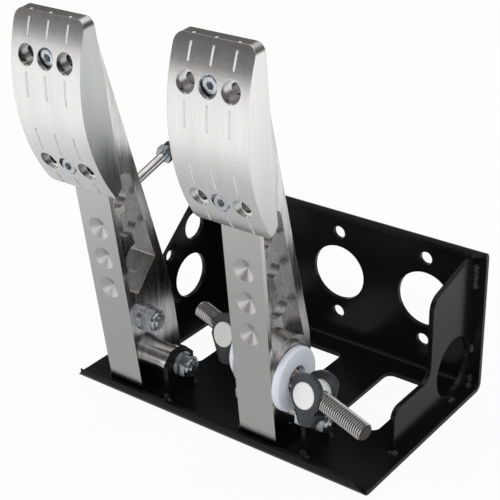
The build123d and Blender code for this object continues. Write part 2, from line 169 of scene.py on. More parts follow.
# Studio: pale floor, soft lamps, and a world that metal sees as a room with a dark upper wall
studio = {
    "floorSize": 6.0,
    "floorShadow": 0.07,
    # painted shadow: in reflections the floor glows less within this reach of the object
    "paintedFloorShadow": (0.12, 0.46, 0.50, 1.02),
    "floorGap": 0.0003,
    "floorGloss": 0.9,
    "floorPaint": 0.80,
    "skyDiffuse": 0.62,
    "lampAim": (0, 0.03, 0.08),
    "room": [
        (0.0, 0.95), (0.49, 0.90), (0.515, 0.80), (0.56, 0.20),
        (0.70, 0.10), (0.80, 0.16), (0.90, 0.75), (1.0, 1.1),
    ],
    "lamps": [
        ("key", (0.9, -1.1, 1.3), 0.9, 0.7, 9.0),
        ("left", (-1.3, -0.7, 0.8), 0.8, 0.9, 6.5),
        ("back", (-0.3, 1.3, 1.2), 1.0, 0.6, 5.0),
    ],
}


def makeWorld(c):
    world = bpy.data.worlds.new("studio")
    bpy.context.scene.world = world
    world.use_nodes = True
    tree = world.node_tree
    tree.nodes.clear()
    start = Wire(tree)
    look = start.node("ShaderNodeTexCoord", out="Generated")
    height = look.node("ShaderNodeSeparateXYZ", values={0: look}, out=2)
    stops = [(position, (shade, shade * 0.985, shade * 0.965)) for position, shade in c["room"]]
    room = start.node("ShaderNodeValToRGB", {"stops": stops}, {0: height * 0.5 + 0.5})
    path = start.node("ShaderNodeLightPath")
    kinds = ("Is Camera Ray", "Is Glossy Ray", "Is Transmission Ray")
    ray = {kind: Wire(tree, path.socket.node.outputs[kind]) for kind in kinds}
    seen = ray["Is Glossy Ray"].mix(grey(c["skyDiffuse"]), room)
    white = ray["Is Camera Ray"].sums("MAXIMUM", ray["Is Camera Ray"], ray["Is Transmission Ray"])
    shade = white.mix(seen, grey(1.0))
    glow = start.node("ShaderNodeBackground", values={"Color": shade, "Strength": 1.0})
    start.node("ShaderNodeOutputWorld", values={"Surface": glow})


def makeFloor(c):
    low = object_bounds()[0][2] - c["floorGap"]
    half = c["floorSize"] / 2
    mesh = bpy.data.meshes.new("floor")
    corners = [(-half, -half, low), (half, -half, low), (half, half, low), (-half, half, low)]
    mesh.from_pydata(corners, [], [(0, 1, 2, 3)])
    floor = bpy.data.objects.new("floor", mesh)
    bpy.context.collection.objects.link(floor)
    finish = bpy.data.materials.new("floor")
    finish.use_nodes = True
    tree = finish.node_tree
    tree.nodes.clear()
    start = Wire(tree)
    paint = start.node("ShaderNodeBsdfDiffuse", values={"Color": grey(c["floorPaint"])})
    path = start.node("ShaderNodeLightPath")
    seen = Wire(tree, path.socket.node.outputs["Is Camera Ray"])
    gloss = Wire(tree, path.socket.node.outputs["Is Glossy Ray"])
    # painted shadow: the floor's glow in reflections is dimmer near the object and full further away
    near, far, paintedShade, bright = c["paintedFloorShadow"]
    spot = place(start)
    away = spot.node("ShaderNodeVectorMath", {"operation": "LENGTH"}, {0: spot}, 1).rise(near, far)
    shine = away * (bright - paintedShade) + paintedShade
    power = gloss * (shine - 1.0) + 1.0
    glow = start.node("ShaderNodeEmission", values={"Color": grey(1.0), "Strength": power})
    share = seen * (1 - c["floorShadow"]) + gloss * c["floorGloss"]
    surface = start.node("ShaderNodeMixShader", values={0: share, 1: paint, 2: glow})
    start.node("ShaderNodeOutputMaterial", values={"Surface": surface})
    mesh.materials.append(finish)
    floor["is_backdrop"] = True


def makeLamps(c):
    for name, stand, width, height, power in c["lamps"]:
        data = bpy.data.lights.new(name, "AREA")
        data.shape = "RECTANGLE"
        data.size = width
        data.size_y = height
        data.energy = power
        lamp = bpy.data.objects.new(name, data)
        aim = Vector(c["lampAim"]) - Vector(stand)
        lamp.visible_glossy = False
        lamp.matrix_world = Matrix.Translation(stand) @ aim.to_track_quat("-Z", "Y").to_matrix().to_4x4()
        bpy.context.collection.objects.link(lamp)


makeWorld(studio)
makeFloor(studio)
makeLamps(studio)
print("studio lit")

# Balance bar: its middle, its line, its two lengths and its thread
balanceRod = {
    "middle": (0.0331, -0.00407405, 0.052361),
    "direction": (0.968878, -0.191843, -0.156434),
    "left": 0.0628,
    "right": 0.0747,
    "radius": 0.0055,
    "pitch": 0.00147,
    "depth": 0.0009,
    "chamfer": 0.0012,
}


# Finishes. Each function returns a node material.
def newFinish(name):
    finish = bpy.data.materials.new(name)
    finish.use_nodes = True
    finish.node_tree.nodes.clear()
    return finish, Wire(finish.node_tree)


def facing(start):
    return start.node("ShaderNodeTexCoord", out="Normal")


def part(vector, axis):
    return vector.node("ShaderNodeSeparateXYZ", values={0: vector}, out="XYZ".index(axis))


def stretched(vector, scale):
    return vector.node("ShaderNodeMapping", values={"Vector": vector, "Scale": scale})


def noise(vector, scale, detail=2.0, rough=0.5):
    values = {"Vector": vector, "Scale": scale, "Detail": detail, "Roughness": rough}
    return vector.node("ShaderNodeTexNoise", values=values)


def softEdge(start, radius):
    return start.node("ShaderNodeBevel", {"samples": 4}, {"Radius": radius})


def side(start):  # 1 where a face looks across the pedals
    across = part(facing(start), "X")
    return (across * across).rise(0.35, 0.7)


def bump(normal, height, depth, strength):
    values = {"Height": height, "Distance": depth, "Strength": strength, "Normal": normal}
    return height.node("ShaderNodeBump", values=values)


def close(start, values):
    surface = start.node("ShaderNodeBsdfPrincipled", values=values)
    start.node("ShaderNodeOutputMaterial", values={"Surface": surface})


blackCoat = {
    "shade": 0.0045,
    "gloss": 0.17,
    "specular": 0.22,
    "peel": 700.0,
    "peelDepth": 0.00001,
    "edge": 0.0007,
}


def makeBlackCoat(c):
    finish, start = newFinish("black coat")
    spot = place(start)
    peel = noise(spot, c["peel"], 1.0)
    cloud = noise(spot, 22.0, 3.0)
    dust = noise(spot, 2600.0, 0.0).rise(0.70, 0.78)
    shade = (cloud * 0.6 + dust * 0.4).mix(grey(c["shade"]), grey(c["shade"] * 2.2, 0.03))
    close(start, {
        "Base Color": shade,
        "Roughness": cloud * 0.10 + c["gloss"],
        "Specular IOR Level": c["specular"],
        "Normal": bump(softEdge(start, c["edge"]), peel, c["peelDepth"], 0.6),
    })
    return finish


weldCoat = {"dark": 0.006, "pale": 0.03, "gloss": 0.16, "specular": 0.6, "grain": 900.0, "grainDepth": 0.0003}


def makeWeldCoat(c):
    finish, start = newFinish("coated weld")
    grain = noise(place(start), c["grain"], 3.0)
    close(start, {
        "Base Color": grain.mix(grey(c["dark"]), grey(c["pale"])),
        "Roughness": grain * 0.2 + c["gloss"],
        "Specular IOR Level": c["specular"],
        "Normal": bump(softEdge(start, 0.0004), grain, c["grainDepth"], 0.8),
    })
    return finish


padMetal = {
    "shade": 0.86,
    "gloss": 0.22,
    "grain": (2400.0, 2400.0, 26.0),
    "broad": (160.0, 160.0, 8.0),
    # painted reflection: a dark colour painted on the pad sides, on the clutch pedal and towards the bottom,
    # for the dark parts they reflect
    "paintedShade": (0.16, 0.165, 0.175, 1),
    "paintedShadeClutch": 0.42,
    "paintedShadeLow": 0.34,
    "grooveShade": 0.95,
    "columns": (-0.082, -0.068, -0.054, 0.0191, 0.0331, 0.0471),
    "groove": 0.00075,
    "centres": ((0.04447, 0.21281), (0.05238, 0.21077)),
    "skin": (0.1058, 0.1068),
}


def grooveMask(spot, c):  # 1 on the floor and sides of the short grooves
    across, depth, height = part(spot, "X"), part(spot, "Y"), part(spot, "Z")
    found = None
    for middle in c["columns"]:
        compared = {0: across, 1: middle, 2: c["groove"]}
        near = across.node("ShaderNodeMath", {"operation": "COMPARE"}, compared)
        found = near if found is None else found.sums("MAXIMUM", found, near)
    brake = across.rise(-0.02, 0.0)
    away = []
    for y, z in c["centres"]:
        away.append(((depth - y) ** 2 + (height - z) ** 2) ** 0.5)
    reach = away[0] + (away[1] - away[0]) * brake
    low, high = c["skin"]
    soft = 0.0001
    return found * reach.rise(low - soft, low) * (1 - reach.rise(high - soft, high))


def makePadMetal(c):
    finish, start = newFinish("brushed pad")
    spot = place(start)
    streak = noise(stretched(spot, c["grain"]), 1.0, 3.0, 0.6)
    broad = noise(stretched(spot, c["broad"]), 1.0, 2.0)
    flat = part(facing(start), "Z").rise(0.6, 0.9)
    groove = grooveMask(spot, c)
    tone = (streak - 0.5) * 1.1 + (broad - 0.5) * 0.6 + 0.5
    # painted reflection: the sides are painted darker on the clutch pedal and towards the bottom
    flank = side(start)
    clutch = part(spot, "X").rise(0.0, -0.03)
    low = part(spot, "Z").rise(0.235, 0.150)
    metal = tone.mix(grey(c["shade"] * 0.86, 0.005), grey(c["shade"] * 1.10, 0.0))
    paintedShade = (flank * (clutch * c["paintedShadeClutch"] + low * c["paintedShadeLow"])).mix(metal, c["paintedShade"])
    close(start, {
        "Base Color": groove.mix(paintedShade, grey(c["grooveShade"])),
        "Metallic": 1.0 - groove * 0.9,
        "Roughness": (streak - 0.5) * 0.22 + c["gloss"] - flat * 0.04 + groove * 0.3,
        "Normal": bump(softEdge(start, 0.0005), streak, 0.00003, 0.35),
    })
    return finish


armMetal = {
    "front": 0.62,
    "side": 0.70,
    # painted reflection: a dark band painted at the foot of the front face for the plate it reflects
    "band": 0.06,
    "foot": (0.0165, 0.0095),
    "streak": (1800.0, 1800.0, 30.0),
    "smear": (200.0, 260.0, 26.0),
    "mill": (60.0, 1900.0, 40.0),
}


def makeArmMetal(c):
    finish, start = newFinish("machined arm")
    spot = place(start)
    flat = side(start)
    streak = noise(stretched(spot, c["streak"]), 1.0, 3.0, 0.6)
    smear = noise(stretched(spot, c["smear"]), 1.0, 4.0, 0.65)
    mill = noise(stretched(spot, c["mill"]), 1.0, 2.0)
    front = (streak * 0.5 + smear * 0.5).mix(grey(c["front"] * 0.93, 0.008), grey(c["front"] * 1.05, 0.004))
    front = part(spot, "Z").rise(*c["foot"]).mix(front, grey(c["band"]))  # the plate's dark reflection
    flank = smear.rise(0.35, 0.65).mix(grey(c["side"] * 0.78, 0.02), grey(c["side"] * 1.1, 0.0))
    close(start, {
        "Base Color": flat.mix(front, flank),
        "Metallic": 1.0,
        "Roughness": 0.26 + (streak - 0.5) * 0.12 - flat * (0.10 - (smear - 0.5) * 0.14),
        "Normal": bump(softEdge(start, 0.0004), mill * flat * 0.7 + streak * 0.3, 0.00005, 0.35),
    })
    return finish


plating = {"haze": 260.0, "grain": 1500.0, "grainDepth": 0.00002, "edge": 0.0003, "dark": 0.82, "pale": 1.08}


def makePlated(c, name, shade, gloss, tint=(1.0, 1.0, 1.0)):
    finish, start = newFinish(name)
    spot = place(start)
    spots = noise(spot, c["haze"], 3.0)
    fine = noise(spot, c["grain"], 1.0)
    low = tuple(shade * c["dark"] * value for value in tint) + (1,)
    high = tuple(shade * c["pale"] * value for value in tint) + (1,)
    close(start, {
        "Base Color": spots.rise(0.3, 0.7).mix(low, high),
        "Metallic": 1.0,
        "Roughness": (spots - 0.5) * 0.16 + gloss,
        "Normal": bump(softEdge(start, c["edge"]), fine, c["grainDepth"], 0.3),
    })
    return finish


def makeThreadMetal(name, rod, shade):
    finish, start = newFinish(name)
    spot = place(start)
    ahead = Vector(rod["direction"]).normalized()
    apart = spot.node("ShaderNodeVectorMath", {"operation": "SUBTRACT"}, {0: spot, 1: Vector(rod["middle"])})
    swept = apart.node("ShaderNodeVectorMath", {"operation": "CROSS_PRODUCT"}, {0: apart, 1: ahead})
    away = swept.node("ShaderNodeVectorMath", {"operation": "LENGTH"}, {0: swept}, 1)
    # painted shade: the thread's valleys are painted near black and its crests light
    crest = away.rise(rod["radius"] - rod["depth"], rod["radius"] - rod["depth"] * 0.25)
    haze = noise(spot, 500.0, 2.0)
    close(start, {
        "Base Color": crest.mix(grey(shade * 0.10, 0.04), grey(shade, 0.02)),
        "Metallic": 1.0,
        "Roughness": haze * 0.12 + 0.20,
    })
    return finish


barrelSteel = {
    # painted light: both clevis barrels are one part coloured by place, the right one painted near white as a
    # reflection, the left one painted darker as shade
    "bright": (0.90, 0.94),
    "paintedShadeTone": (0.66, 0.78),
    "gloss": 0.42,
    "grain": 900.0,
    "left": (0.040, 0.0),
}


def makeBarrelSteel(c):
    finish, start = newFinish("turned barrel")
    spot = place(start)
    fine = noise(spot, c["grain"], 3.0)
    # painted light: near white and little metallic on the right, darker metal on the left
    left = part(spot, "X").rise(*c["left"])
    tone = fine.rise(0.3, 0.7).mix(grey(c["bright"][0], 0.004), grey(c["bright"][1], 0.0))
    paintedShadeTone = fine.rise(0.3, 0.7).mix(grey(c["paintedShadeTone"][0], 0.006), grey(c["paintedShadeTone"][1], 0.006))
    close(start, {
        "Base Color": left.mix(tone, paintedShadeTone),
        "Metallic": left * 0.75 + 0.2,
        "Roughness": (fine - 0.5) * 0.12 + c["gloss"] - left * 0.1,
        "Normal": bump(softEdge(start, 0.0003), fine, 0.00003, 0.3),
    })
    return finish


anodised = {
    "shade": (0.046, 0.055, 0.066, 1),
    # painted shade: the left clevis body is painted darker than the right one
    "paintedShadeLeft": 0.018,
    "gloss": 0.34,
    "grain": (900.0, 900.0, 120.0),
    "left": (0.040, 0.0),
}


def makeAnodised(c):
    finish, start = newFinish("dark anodised")
    spot = place(start)
    grain = noise(stretched(spot, c["grain"]), 1.0, 2.0)
    # painted shade: darker on the left clevis
    left = part(spot, "X").rise(*c["left"])
    shade = left.mix(c["shade"], grey(c["paintedShadeLeft"]))
    close(start, {
        "Base Color": (grain.rise(0.25, 0.75) * 0.25 + 0.1).mix(shade, grey(0.10)),
        "Metallic": 0.35,
        "Roughness": (grain - 0.5) * 0.12 + c["gloss"],
        "Normal": bump(softEdge(start, 0.0006), grain, 0.00002, 0.3),
    })
    return finish


nylon = {
    "dark": (0.70, 0.75, 0.82, 1),
    "pale": (0.80, 0.84, 0.90, 1),
    "gloss": 0.30,
    "depth": 0.25,
    "depthReach": 0.004,
}


def makeNylon(c):
    finish, start = newFinish("milky nylon")
    spot = place(start)
    cloud = noise(spot, 90.0, 3.0)
    close(start, {
        "Base Color": cloud.mix(c["dark"], c["pale"]),
        "Roughness": cloud * 0.12 + c["gloss"],
        "Subsurface Weight": c["depth"],
        "Subsurface Scale": c["depthReach"],
        "Normal": bump(softEdge(start, 0.0006), noise(spot, 700.0, 2.0), 0.00003, 0.4),
    })
    return finish


zinc = {"dark": (0.46, 0.49, 0.54, 1), "pale": (0.66, 0.69, 0.73, 1), "gloss": 0.14, "haze": 320.0}


def makeZinc(c):
    finish, start = newFinish("zinc fastener")
    spot = place(start)
    haze = noise(spot, c["haze"], 3.0)
    fine = noise(spot, 1600.0, 1.0)
    close(start, {
        "Base Color": haze.rise(0.3, 0.7).mix(c["dark"], c["pale"]),
        "Metallic": 1.0,
        "Roughness": haze * 0.14 + c["gloss"],
        "Normal": bump(softEdge(start, 0.0003), fine, 0.00002, 0.3),
    })
    return finish


rubber = {"dark": 0.012, "pale": 0.03, "gloss": 0.55, "grain": 1500.0}


def makeRubber(c):
    finish, start = newFinish("moulded rubber")
    grain = noise(place(start), c["grain"], 3.0)
    close(start, {
        "Base Color": grain.mix(grey(c["dark"]), grey(c["pale"])),
        "Roughness": grain * 0.15 + c["gloss"],
        "Normal": bump(softEdge(start, 0.0005), grain, 0.00006, 0.5),
    })
    return finish


finishes = {
    "black_frame": makeBlackCoat(blackCoat),
    "weld": makeWeldCoat(weldCoat),
    "arm_metal": makeArmMetal(armMetal),
    "pad_metal": makePadMetal(padMetal),
    "zinc": makeZinc(zinc),
    "polished": makePlated(plating, "polished spacer", 0.78, 0.16),
    "nickel": makePlated(plating, "nickel thread", 0.66, 0.20, (1.0, 0.985, 0.95)),
    "barrel_steel": makeBarrelSteel(barrelSteel),
    "anodised": makeAnodised(anodised),
    "nylon": makeNylon(nylon),
    "bearing_steel": makePlated(plating, "ground bearing", 0.62, 0.18),
    "dark_steel": makePlated(plating, "blackened steel", 0.10, 0.34),
    "stop_rubber": makeRubber(rubber),
    "thread": makeThreadMetal("rolled thread", balanceRod, 0.80),
}
print("finishes made", len(finishes))

slots = {piece["node"]: piece["material_slot"] for piece in frame["record"]["subparts"]}


def dress():
    for name, piece in nodes.items():
        finish = finishes[slots[name]]
        piece.data.materials.clear()
        piece.data.materials.append(finish)


dress()
print("nodes dressed", len(nodes))


# Threads, by a node tree that wraps a sheared grid into a helix
def socketOf(group, name):
    inputs = [item for item in group.interface.items_tree if item.in_out == "INPUT"]
    return next(item.identifier for item in inputs if item.name == name)


def newTree(name, inputs):
    group = bpy.data.node_groups.new(name, "GeometryNodeTree")
    group.interface.new_socket("Geometry", in_out="INPUT", socket_type="NodeSocketGeometry")
    group.interface.new_socket("Geometry", in_out="OUTPUT", socket_type="NodeSocketGeometry")
    for label, kind, value in inputs:
        made = group.interface.new_socket(label, in_out="INPUT", socket_type=kind)
        if value is not None:
            made.default_value = value
    return group, Wire(group)


def finishTree(group, start, shape, material):
    real = start.node("GeometryNodeRealizeInstances", values={"Geometry": shape})
    done = start.node("GeometryNodeSetMaterial", values={"Geometry": real, "Material": material})
    end = group.nodes.new("NodeGroupOutput")
    group.links.new(done.socket, end.inputs[0])


def evaluated(name, base, group, inputs, turn, finish, body, stands):
    holder = bpy.data.objects.new(name + "_maker", base)
    bpy.context.collection.objects.link(holder)
    modifier = holder.modifiers.new("maker", "NODES")
    modifier.node_group = group
    for label, value in inputs.items():
        modifier[socketOf(group, label)] = value
    bpy.context.view_layer.update()
    graph = bpy.context.evaluated_depsgraph_get()
    mesh = bpy.data.meshes.new_from_object(holder.evaluated_get(graph))
    holder.modifiers.remove(modifier)
    bpy.data.objects.remove(holder)
    mesh.name = name
    mesh.transform(turn)
    mesh.materials.clear()
    mesh.materials.append(finish)
    piece = bpy.data.objects.new(name, mesh)
    bpy.context.collection.objects.link(piece)
    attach(piece, body)
    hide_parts(*stands)
    return piece


def threadTree():
    group, start = newTree("thread", [
        ("Length", "NodeSocketFloat", 0.1),
        ("Radius", "NodeSocketFloat", 0.005),
        ("Pitch", "NodeSocketFloat", 0.0015),
        ("Depth", "NodeSocketFloat", 0.0008),
        ("Chamfer", "NodeSocketFloat", 0.001),
        ("Material", "NodeSocketMaterial", None),
    ])
    given = group.nodes.new("NodeGroupInput")
    value = {item.name: Wire(group, item) for item in given.outputs if item.name}
    rows, sides, seam = 4, 28, 0.000004
    turns = value["Length"] / value["Pitch"]
    count = turns * rows + 2 * rows
    rounds = start.node("FunctionNodeFloatToInt", {"rounding_mode": "FLOOR"}, {0: count})
    size = rounds * value["Pitch"] * (1 / rows)
    sheet = start.node("GeometryNodeMeshGrid", values={
        "Size X": size, "Size Y": 1.0, "Vertices X": rounds + 1, "Vertices Y": sides + 1,
    })
    spot = start.node("GeometryNodeInputPosition")
    column = part(spot, "X") + size * 0.5 - value["Pitch"]
    share = part(spot, "Y") + 0.5
    along = column + share * value["Pitch"]
    wound = column / value["Pitch"] + 40.0001  # whole turns more, so that it is never negative
    phase = wound.node("ShaderNodeMath", {"operation": "FRACT"}, {0: wound})
    tooth = phase.node("ShaderNodeMath", {"operation": "ABSOLUTE"}, {0: phase - 0.5}) * 2
    held = along.sums("MINIMUM", along.sums("MAXIMUM", along, 0.0), value["Length"])
    near = held.sums("MINIMUM", held, value["Length"] - held)
    crest = value["Radius"] - tooth * value["Depth"]
    limit = value["Radius"] - value["Chamfer"] + near
    reach = crest.sums("MINIMUM", crest, limit)
    angle = share * (2 * pi)
    wrapped = start.node("ShaderNodeCombineXYZ", values={
        0: held,
        1: reach * angle.node("ShaderNodeMath", {"operation": "COSINE"}, {0: angle}),
        2: reach * angle.node("ShaderNodeMath", {"operation": "SINE"}, {0: angle}),
    })
    placed = start.node("GeometryNodeSetPosition", values={"Geometry": sheet, "Position": wrapped})
    placed = start.node("GeometryNodeFlipFaces", values={"Mesh": placed})
    end = value["Radius"] - value["Chamfer"]
    cap = start.node("GeometryNodeMeshCircle", {"fill_type": "NGON"}, {"Vertices": sides, "Radius": end})
    caps = start.node("GeometryNodeJoinGeometry")
    for flip, where in ((-pi / 2, 0.0), (pi / 2, value["Length"])):
        spotted = start.node("ShaderNodeCombineXYZ", values={0: where})
        turned = start.node("GeometryNodeTransform", values={
            "Geometry": cap, "Translation": spotted, "Rotation": (0, flip, 0),
        })
        group.links.new(turned.socket, caps.socket.node.inputs[0])
    both = start.node("GeometryNodeJoinGeometry")
    group.links.new(caps.socket, both.socket.node.inputs[0])
    group.links.new(placed.socket, both.socket.node.inputs[0])
    merged = start.node("GeometryNodeMergeByDistance", values={"Geometry": both, "Distance": seam})
    finishTree(group, start, merged, value["Material"])
    return group


def lineTurn(start, direction):
    ahead = Vector(direction).normalized()
    up = ahead.orthogonal().normalized()
    side = ahead.cross(up)
    return Matrix.Translation(start) @ Matrix((ahead, up, side)).transposed().to_4x4()


def makeBalanceRod(c, group):
    start = Vector(c["middle"]) - Vector(c["direction"]) * c["left"]
    inputs = {
        "Length": c["left"] + c["right"],
        "Radius": c["radius"],
        "Pitch": c["pitch"],
        "Depth": c["depth"],
        "Chamfer": c["chamfer"],
        "Material": finishes["thread"],
    }
    base = bpy.data.meshes.new("rod_base")
    return evaluated("threaded_balance_rod", base, group, inputs, lineTurn(start, c["direction"]),
                     finishes["thread"], "balance_bar", ["balance_rod"])


makeBalanceRod(balanceRod, threadTree())
print("threads cut")

# Pieces cut from blanks, in each pedal's own frame: depth to the back, height up the arm
pedals = {
    "clutch": {"across": -0.068, "lean": 7.15},
    "brake": {"across": 0.0331, "lean": 4.74},
}
pivotHeight = 0.0238
armHalf = 0.0127
armFront = 0.01985
sharpAngle = 18


def pedalTurn(name):
    c = pedals[name]
    return Matrix.Translation((c["across"], 0, pivotHeight)) @ Matrix.Rotation(radians(c["lean"]), 4, "X")


def roundedLoop(points, radii, steps=6):
    loop = []
    for k, (point, radius) in enumerate(zip(points, radii)):
        here = Vector((0, *point))
        if radius == 0:
            loop.append(here)
            continue
        back = (Vector((0, *points[k - 1])) - here).normalized()
        ahead = (Vector((0, *points[(k + 1) % len(points)])) - here).normalized()
        half = back.angle(ahead) / 2
        centre = here + (back + ahead).normalized() * (radius / sin(half))
        first = here + back * (radius / tan(half)) - centre
        sweep = copysign(pi - 2 * half, back.cross(ahead).x)
        for step in range(steps + 1):
            loop.append(centre + Matrix.Rotation(-sweep * step / steps, 3, "X") @ first)
    return [(spot.y, spot.z) for spot in loop]


def circleLoop(depth, height, radius, sides=48):
    angles = [2 * pi * k / sides for k in range(sides)]
    return [(depth + radius * cos(angle), height + radius * sin(angle)) for angle in angles]


def closedMesh(work, turn=None):
    bmesh.ops.recalc_face_normals(work, faces=work.faces)
    mesh = bpy.data.meshes.new("blank")
    work.to_mesh(mesh)
    work.free()
    if turn:
        mesh.transform(turn)
    return mesh


def plateMesh(loop, low, high, turn=None):  # a flat outline between two places across
    work = bmesh.new()
    near = [work.verts.new((low, *spot)) for spot in loop]
    far = [work.verts.new((high, *spot)) for spot in loop]
    work.faces.new(near)
    work.faces.new(far[::-1])
    for k in range(len(loop)):
        work.faces.new((near[k - 1], near[k], far[k], far[k - 1]))
    return closedMesh(work, turn)


def turnedMesh(profile, turn, sides=48):  # (along, radius) pairs swept round the first axis
    work = bmesh.new()
    rings = []
    for along, radius in profile:
        count = sides if radius > 0 else 1
        angles = [2 * pi * k / sides for k in range(count)]
        rings.append([work.verts.new((along, radius * cos(angle), radius * sin(angle))) for angle in angles])
    closed = profile[0][1] > 0
    pairs = zip(rings, rings[1:] + rings[:1]) if closed else zip(rings, rings[1:])
    for one, two in pairs:
        for k in range(sides):
            near, far = k % len(one), k % len(two)
            corners = [one[(k - 1) % len(one)], one[near], two[far], two[(k - 1) % len(two)]]
            work.faces.new(list(dict.fromkeys(corners)))
    return closedMesh(work, turn)


def machined(mesh, steps):
    blank = bpy.data.objects.new("blank", mesh)
    bpy.context.collection.objects.link(blank)
    tools = []
    for operation, tool in steps:
        cutter = bpy.data.objects.new("tool", tool)
        bpy.context.collection.objects.link(cutter)
        tools.append(cutter)
        modifier = blank.modifiers.new("cut", "BOOLEAN")
        modifier.operation = operation
        modifier.solver = "EXACT"
        modifier.object = cutter
    bpy.context.view_layer.update()
    result = bpy.data.meshes.new_from_object(blank.evaluated_get(bpy.context.evaluated_depsgraph_get()))
    for spare in [blank] + tools:
        bpy.data.objects.remove(spare)
    return result


def newPiece(name, mesh, finish, body, stands):
    mesh.name = name
    mesh.materials.clear()
    mesh.materials.append(finishes[finish])
    mesh.shade_smooth()
    mesh.set_sharp_from_angle(angle=radians(sharpAngle))
    piece = bpy.data.objects.new(name, mesh)
    bpy.context.collection.objects.link(piece)
    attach(piece, body)
    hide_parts(*stands)
    return piece


armCuts = {
    "front": armFront,
    "wall": 0.0032,
    "rear": 0.019,
    "rib": 0.006,
    "taperStart": 0.043,
    "taper": 0.158,
    "height": 0.228,
    "foot": 0.0178,
    "heel": 0.0239,
    "toe": 0.0204,
    "bush": 0.009,
    "top": 0.132,
    "pocket": 0.0070,
    "recess": 0.0100,
    "overlap": 0.0005,
    "clutchToe": ((0.0, 0.0585), (0.0065, 0.0520)),
    "clutchHeel": (0.0695, 0.0685),
    "clutchCorners": (0.005, 0.0015, 0.0015, 0.0025, 0.005),
    "brakeLow": 0.0318,
    "brakeStep": 0.0025,
    "brakeKnee": 0.057,
    "brakeCorners": (0.005, 0.004, 0.004, 0.02, 0.005),
    "recesses": ((0.0174, 0.0955, 0.0082), (0.0143, 0.114, 0.0060), (0.0209, 0.0698, 0.0096)),
    "dimples": (0.0589, 0.0794, 0.0999),
    "dimple": (0.0003, 0.0071, 0.0034),
    "bolt": (-0.00635, 0.0329, 0.0040),
    "slot": (0.0050, 0.0120, 0.0090, 0.0080),
    "slotEnd": 0.03,
    "boss": (-0.0017, 0.0288, 0.0175, 0.0115, 0.0147),
    "bossRing": 0.003,
}


def rearDepth(c, height):
    return c["rear"] - c["taper"] * max(0.0, height - c["taperStart"])


def ribDepth(c, height):
    return rearDepth(c, height) - c["rib"]


def arcLoop(radius, first, last, steps=8):  # round the pivot, from one point to another
    start, end = atan2(first[1], first[0]), atan2(last[1], last[0])
    angles = [start + (end - start) * k / steps for k in range(steps + 1)]
    return [(radius * cos(angle), radius * sin(angle)) for angle in angles]


def armLoop(c):
    front, rear, foot, top = c["front"], c["rear"], c["foot"], c["height"]
    heelStart, heelEnd = sqrt(c["heel"] ** 2 - front ** 2), sqrt(c["heel"] ** 2 - foot ** 2)
    toeStart, toeEnd = sqrt(c["toe"] ** 2 - foot ** 2), sqrt(c["toe"] ** 2 - rear ** 2)
    heel = arcLoop(c["heel"], (-front, -heelStart), (-heelEnd, -foot))
    toe = arcLoop(c["toe"], (toeStart, -foot), (rear, -toeEnd))
    return [(-front, top)] + heel + toe + [(rear, c["taperStart"]), (rearDepth(c, top), top)]


def clutchPocket(c):
    front, top = c["wall"] - c["front"], c["top"]
    toe = [(front + setback, height) for setback, height in c["clutchToe"]]
    level, height = c["clutchHeel"]
    points = ((front, top), *toe, (ribDepth(c, level), height), (ribDepth(c, top), top))
    return roundedLoop(points, c["clutchCorners"])


def brakePocket(c):
    front, top, low, knee = c["wall"] - c["front"], c["top"], c["brakeLow"], c["brakeKnee"]
    heel = ribDepth(c, low) + c["brakeStep"]
    points = ((front, top), (front, low), (heel, low), (ribDepth(c, knee), knee), (ribDepth(c, top), top))
    return roundedLoop(points, c["brakeCorners"])


def within(loop, share=0.992):  # an outline drawn in a little, so that no two walls coincide
    middle = [sum(spot[k] for spot in loop) / len(loop) for k in (0, 1)]
    return [tuple(middle[k] + (spot[k] - middle[k]) * share for k in (0, 1)) for spot in loop]


def armSteps(c, turn, pocket, kept=None):
    steps = [("DIFFERENCE", plateMesh(circleLoop(0, 0, c["bush"]), -2 * armHalf, 2 * armHalf, turn))]
    past = c["overlap"]
    for side in (-1, 1):
        low, high = side * (armHalf - c["pocket"]), side * (armHalf + 2 * past)
        hollow = plateMesh(pocket, low, high, turn)
        if kept:
            core = plateMesh(kept, low - side * 2 * past, high + side * 2 * past, turn)
            hollow = machined(hollow, [("DIFFERENCE", core)])
        steps.append(("DIFFERENCE", hollow))
        for setback, height, radius in c["recesses"]:
            ring = circleLoop(setback - c["front"], height, radius, 46)
            disc = plateMesh(ring, side * (armHalf - c["recess"]), low + side * past, turn)
            room = plateMesh(within(pocket), 0, 2 * high, turn)
            steps.append(("DIFFERENCE", machined(disc, [("INTERSECT", room)])))
    tip, wide, depth = c["dimple"]
    mouth = wide + past * (wide - tip) / depth
    for height in c["dimples"]:
        spot = turn @ Matrix.Translation((0, -c["front"], height)) @ Matrix.Rotation(radians(90), 4, "Z")
        cone = turnedMesh(((-past, 0), (-past, mouth), (depth, tip), (depth, 0)), spot)
        steps.append(("DIFFERENCE", cone))
    return steps


def makeClutchArm(c):
    turn = pedalTurn("clutch")
    steps = armSteps(c, turn, clutchPocket(c))
    depth, height, radius = c["bolt"]
    hole = circleLoop(depth, height, radius)
    steps.append(("DIFFERENCE", plateMesh(hole, -2 * armHalf, 2 * armHalf, turn)))
    half, tall, start, corner = c["slot"]
    near, far, low, high = depth - start, c["slotEnd"], height - tall, height + tall
    slotLoop = roundedLoop(((near, low), (far, low), (far, high), (near, high)), (corner, 0, 0, corner))
    steps.append(("DIFFERENCE", plateMesh(slotLoop, -half, half, turn)))
    mesh = machined(plateMesh(armLoop(c), -armHalf, armHalf, turn), steps)
    return newPiece("clutch_arm_cut", mesh, "arm_metal", "clutch_pedal", ["clutch_arm"])


